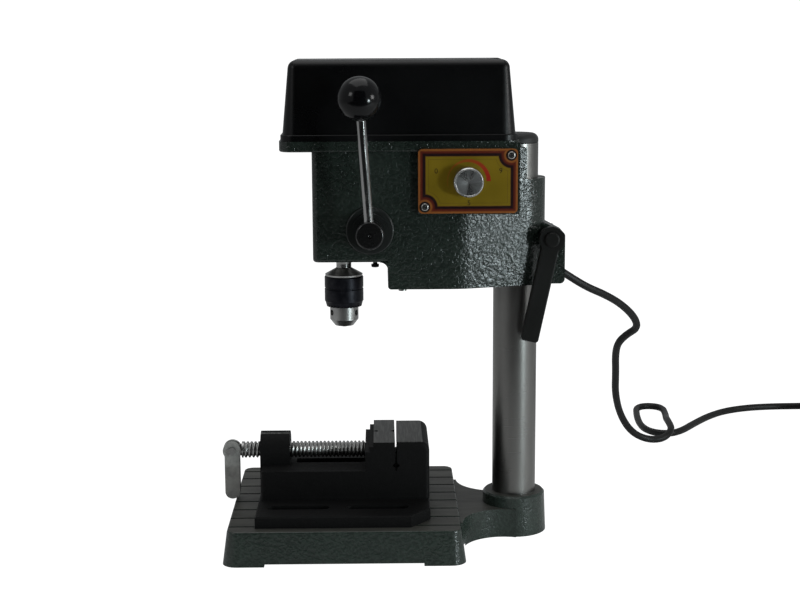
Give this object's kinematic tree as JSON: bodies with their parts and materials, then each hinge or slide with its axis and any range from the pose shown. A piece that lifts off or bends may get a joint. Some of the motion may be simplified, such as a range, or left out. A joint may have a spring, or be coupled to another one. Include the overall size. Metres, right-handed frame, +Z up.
{
  "type": "drill press",
  "caption": "Small bench drill press: belt-driven head on a round column, feed lever, speed knob, keyed chuck, cast base and a bench vise, with its mains cord.",
  "frame": {"origin": "on the column's axis, at the underside of the base, which is the plane it stands on", "axes": "+X runs from the chuck to the column, +Y away from the side that carries the speed knob, +Z up along the column"},
  "size_m": [0.5441, 0.3933, 0.305],
  "materials": {
    "black_cast": "matte",
    "black_oxide": "satin",
    "black_plastic": "satin",
    "board_green": "satin",
    "brass": "satin",
    "bright_steel": "gloss",
    "column_steel": "satin",
    "cord_black": "satin",
    "gloss_black": "gloss",
    "green_paint": "gloss",
    "knob_aluminium": "satin",
    "panel_print": "gloss",
    "rubber": "matte",
    "steel": "satin",
    "zinc": "satin"
  },
  "bodies": {
    "base": {"base_plate": "green_paint", "column_set_screw": "black_oxide"},
    "column": {"column": "column_steel", "column_cap": "black_plastic", "power_cord": "cord_black", "cord_coil": "cord_black", "coil_tie": "rubber", "plug_body": "rubber", "plug_pins": "bright_steel"},
    "head": {"head_casting": "green_paint", "bottom_plate": "black_cast", "bottom_screws": "steel", "clamp_bolt": "steel", "motor_case": "zinc", "motor_end_cap": "black_plastic", "motor_screws": "steel", "pulley_bearings": "bright_steel", "drive_belt": "rubber", "speed_panel": "panel_print", "panel_screws": "bright_steel", "potentiometer": "black_plastic", "pot_nut": "bright_steel", "circuit_board": "board_green", "feed_collar": "black_plastic", "spring_cap": "black_plastic", "return_spring": "steel", "limit_screw": "brass", "strain_relief": "rubber"},
    "clamp": {"clamp_lever": "gloss_black", "clamp_lever_cap": "gloss_black"},
    "motor_rotor": {"motor_shaft": "steel", "motor_pulley": "knob_aluminium"},
    "pulley": {"spindle_pulley": "knob_aluminium"},
    "cover": {"belt_cover": "black_plastic"},
    "speed": {"pot_shaft": "knob_aluminium", "speed_knob": "knob_aluminium"},
    "feed": {"pinion_shaft": "steel", "feed_hub": "black_plastic", "hub_set_screw": "black_oxide", "feed_rod": "bright_steel", "ball_knob": "gloss_black"},
    "quill": {"quill": "steel", "quill_bearings": "bright_steel"},
    "spindle": {"spindle": "steel", "spindle_circlip": "black_oxide", "chuck_body": "steel"},
    "chuck_ring": {"chuck_sleeve": "black_oxide"},
    "jaw_1": {"chuck_jaw_1": "steel"},
    "jaw_2": {"chuck_jaw_2": "steel"},
    "jaw_3": {"chuck_jaw_3": "steel"},
    "vise": {"vise_body": "black_cast"},
    "vise_slide": {"moving_jaw": "black_cast", "vise_keeper": "steel", "keeper_screws": "steel", "screw_retainer": "black_oxide"},
    "vise_spindle": {"vise_screw": "zinc", "handle_pin": "zinc"},
    "vise_crank": {"vise_handle": "zinc"}
  },
  "joints": [
    {"name": "head_swivel", "type": "hinge", "parent": "base", "child": "column", "pos_m": [0, 0, 0], "axis": [0, 0, 1], "range_deg": [-90, 90]},
    {"name": "head_lift", "type": "slide", "parent": "column", "child": "head", "axis": [0, 0, 1], "range_m": [-0.04, 0.02], "deforming": ["power_cord"]},
    {"name": "clamp_turn", "type": "hinge", "parent": "head", "child": "clamp", "pos_m": [0.0208, 0, 0.194], "axis": [0, -1, 0], "range_deg": [0, 100]},
    {"name": "motor_spin", "type": "hinge", "parent": "head", "child": "motor_rotor", "pos_m": [-0.0465, 0, 0.23], "axis": [0, 0, 1], "continuous": true},
    {"name": "pulley_spin", "type": "hinge", "parent": "head", "child": "pulley", "pos_m": [-0.1095, 0, 0.26], "axis": [0, 0, 1], "continuous": true},
    {"name": "cover_lift", "type": "slide", "parent": "head", "child": "cover", "axis": [0, 0, 1], "range_m": [0, 0.09]},
    {"name": "speed_turn", "type": "hinge", "parent": "head", "child": "speed", "pos_m": [-0.0322, -0.03, 0.2316], "axis": [0, 1, 0], "range_deg": [0, 270]},
    {"name": "feed_turn", "type": "hinge", "parent": "head", "child": "feed", "pos_m": [-0.0925, 0, 0.201], "axis": [0, -1, 0], "range_deg": [0, 179], "stiffness_Nm_per_rad": 0.06, "springref_deg": -137.51},
    {"name": "quill_feed", "type": "slide", "parent": "head", "child": "quill", "axis": [0, 0, -1], "range_m": [0, 0.025]},
    {"name": "spindle_spin", "type": "hinge", "parent": "quill", "child": "spindle", "pos_m": [-0.1095, 0, 0.2], "axis": [0, 0, 1], "continuous": true},
    {"name": "chuck_grip", "type": "hinge", "parent": "spindle", "child": "chuck_ring", "pos_m": [-0.1095, 0, 0.158], "axis": [0, 0, 1], "range_deg": [0, 1682]},
    {"name": "jaw_1_slide", "type": "slide", "parent": "spindle", "child": "jaw_1", "axis": [0.2387, 0.1378, 0.9613], "range_m": [0, 0.007]},
    {"name": "jaw_2_slide", "type": "slide", "parent": "spindle", "child": "jaw_2", "axis": [-0.2387, 0.1378, 0.9613], "range_m": [0, 0.0071]},
    {"name": "jaw_3_slide", "type": "slide", "parent": "spindle", "child": "jaw_3", "axis": [0, -0.2756, 0.9613], "range_m": [0, 0.0071]},
    {"name": "vise_shift", "type": "slide", "parent": "base", "child": "vise", "axis": [1, 0, 0], "range_m": [-0.012, 0.012]},
    {"name": "vise_jaw_slide", "type": "slide", "parent": "vise", "child": "vise_slide", "axis": [-1, 0, 0], "range_m": [-0.0012, 0.04]},
    {"name": "vise_screw_turn", "type": "hinge", "parent": "vise_slide", "child": "vise_spindle", "pos_m": [-0.15, 0, 0.054], "axis": [-1, 0, 0], "range_deg": [-176, 5764]},
    {"name": "vise_handle_fold", "type": "hinge", "parent": "vise_spindle", "child": "vise_crank", "pos_m": [-0.1834, 0, 0.054], "axis": [0, 1, 0], "range_deg": [0, 90]}
  ],
  "couplings": [
    {"joint": "pulley_spin", "follows": "motor_spin", "ratio": 0.30952},
    {"joint": "spindle_spin", "follows": "motor_spin", "ratio": 0.30952},
    {"joint": "quill_feed", "follows": "feed_turn", "m_per_rad": 0.008},
    {"joint": "chuck_grip", "follows": "jaw_1_slide", "rad_per_m": 4188.8},
    {"joint": "jaw_2_slide", "follows": "jaw_1_slide", "ratio": 1},
    {"joint": "jaw_3_slide", "follows": "jaw_1_slide", "ratio": 1},
    {"joint": "vise_screw_turn", "follows": "vise_jaw_slide", "rad_per_m": 2513.3}
  ]
}
